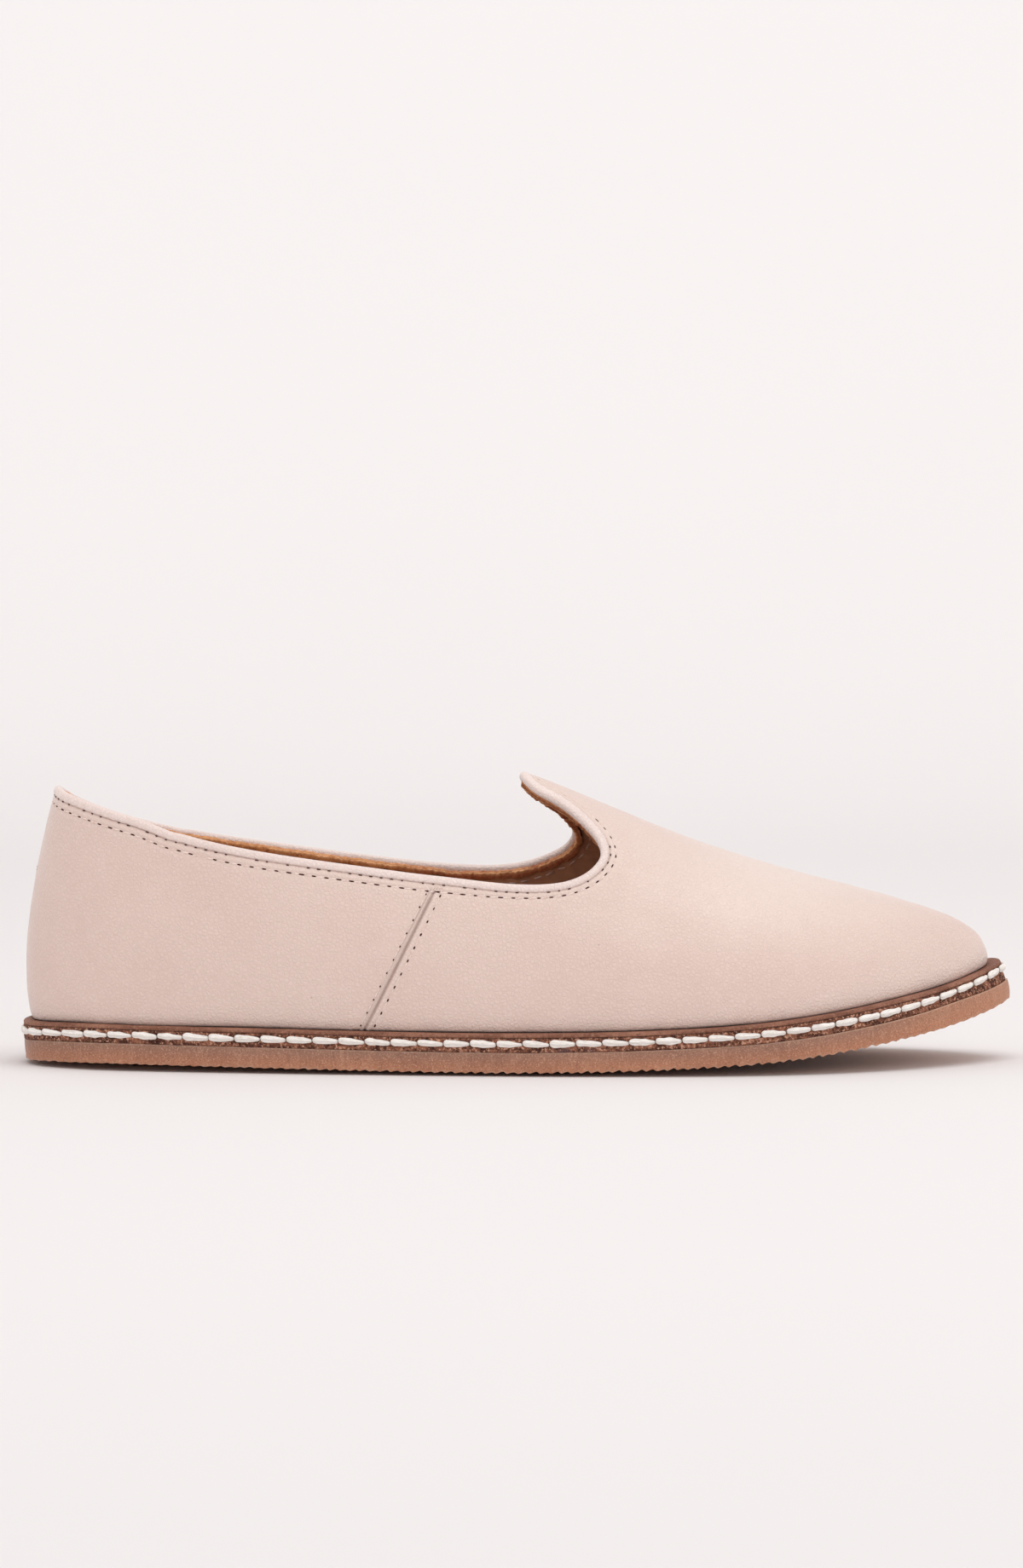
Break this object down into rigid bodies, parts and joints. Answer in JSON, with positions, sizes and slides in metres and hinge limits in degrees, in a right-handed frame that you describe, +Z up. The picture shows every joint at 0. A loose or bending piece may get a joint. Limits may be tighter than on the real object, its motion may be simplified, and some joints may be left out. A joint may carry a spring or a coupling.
{
  "type": "slip-on shoe",
  "caption": "Flat hand-sewn leather slip-on shoe with an instep tab, a rolled collar, a stitched leather midsole and a thin ribbed rubber outsole.",
  "frame": {"origin": "on the floor under the middle of the shoe's box", "axes": "+X to the toe, +Y to the inner side of the foot, +Z up"},
  "size_m": [0.269, 0.0886, 0.0793],
  "materials": {
    "outsole": "translucent amber gum rubber, satin",
    "midsole": "raw cut leather edge, matte",
    "upper": "pale pink fine-grained leather, satin",
    "collar_binding": "pale pink rolled leather, satin",
    "insole": "tan sock leather, matte"
  },
  "bodies": {
    "root": {"outsole": "outsole", "midsole": "midsole", "upper": "upper", "collar_binding": "collar_binding", "insole": "insole"}
  },
  "joints": []
}
